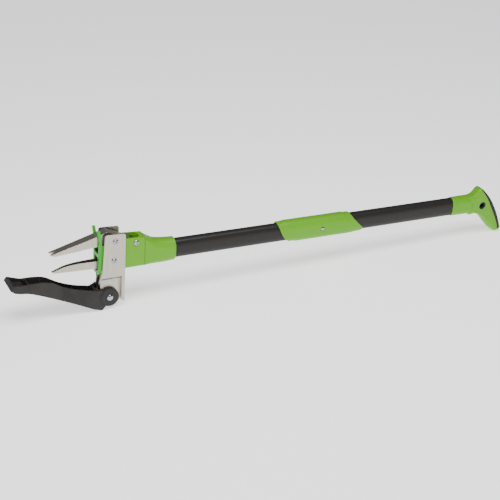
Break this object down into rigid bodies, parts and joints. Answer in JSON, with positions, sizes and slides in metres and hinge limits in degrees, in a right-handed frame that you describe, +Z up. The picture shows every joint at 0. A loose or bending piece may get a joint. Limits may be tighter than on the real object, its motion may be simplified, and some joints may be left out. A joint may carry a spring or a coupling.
{
  "type": "hand weeder",
  "caption": "Stand-up hand weeder: oval shaft with a T handle, steel claw head worked by a foot pedal, and a sliding grip that pushes an ejector plate.",
  "frame": {"origin": "bottom centre of the tool's box, on the ground it stands on", "axes": "+X along the tool from the claws to the handle, +Y across it, +Z up"},
  "size_m": [1.0862, 0.048, 0.1602],
  "materials": {
    "green_plastic": "fine moulded texture, satin",
    "stainless_sheet": "brushed and slightly polished sheet",
    "zinc_plated_steel": "bright zinc plating",
    "black_plastic": "moulded, slightly glossy",
    "black_rubber": "matt soft moulding",
    "charcoal_coated_tube": "satin powder coating",
    "natural_nylon": "unfilled moulded nylon"
  },
  "bodies": {
    "frame": {"claw_spacer_tube": "stainless_sheet", "claw_washer_far": "natural_nylon", "claw_washer_near": "natural_nylon", "handle": "green_plastic", "hanging_eyelet": "black_plastic", "head_bracket": "stainless_sheet", "housing_far": "green_plastic", "housing_near": "green_plastic", "housing_nut": "zinc_plated_steel", "housing_screw": "zinc_plated_steel", "palm_pad": "black_rubber", "pin_bush_far": "natural_nylon", "pin_bush_near": "natural_nylon", "pivot_bolt": "zinc_plated_steel", "pivot_nut": "zinc_plated_steel", "pivot_sleeve": "stainless_sheet", "pivot_spacer_far": "natural_nylon", "pivot_spacer_near": "natural_nylon", "rod_guide_front": "natural_nylon", "rod_guide_rear": "natural_nylon", "shaft_tube": "charcoal_coated_tube", "upper_claw": "stainless_sheet", "upper_claw_bolt": "zinc_plated_steel", "upper_claw_nut": "zinc_plated_steel"},
    "pedal": {"foot_pedal": "black_plastic", "pedal_cam": "zinc_plated_steel", "pedal_pin": "zinc_plated_steel"},
    "lower_claw": {"claw_spring": "zinc_plated_steel", "lower_claw": "stainless_sheet"},
    "ejector": {"ejector_plate": "green_plastic", "grip_far": "green_plastic", "grip_near": "green_plastic", "grip_nut": "zinc_plated_steel", "grip_screw": "zinc_plated_steel", "push_rod": "zinc_plated_steel", "rod_carrier": "natural_nylon"}
  },
  "joints": [
    {"name": "pedal_hinge", "type": "hinge", "parent": "frame", "child": "pedal", "pos_m": [-0.35807, 0, 0.02457], "axis": [0, -1, 0], "range_deg": [0, 90]},
    {"name": "lower_claw_hinge", "type": "hinge", "parent": "frame", "child": "lower_claw", "pos_m": [-0.34788, 0, 0.0983], "axis": [0, 1, 0], "range_deg": [0, 8]},
    {"name": "ejector_slide", "type": "slide", "parent": "frame", "child": "ejector", "axis": [-0.9996, 0, 0.0297], "range_m": [0, 0.078]}
  ],
  "couplings": [
    {"joint": "lower_claw_hinge", "follows": "pedal_hinge", "ratio": 0.088889}
  ]
}
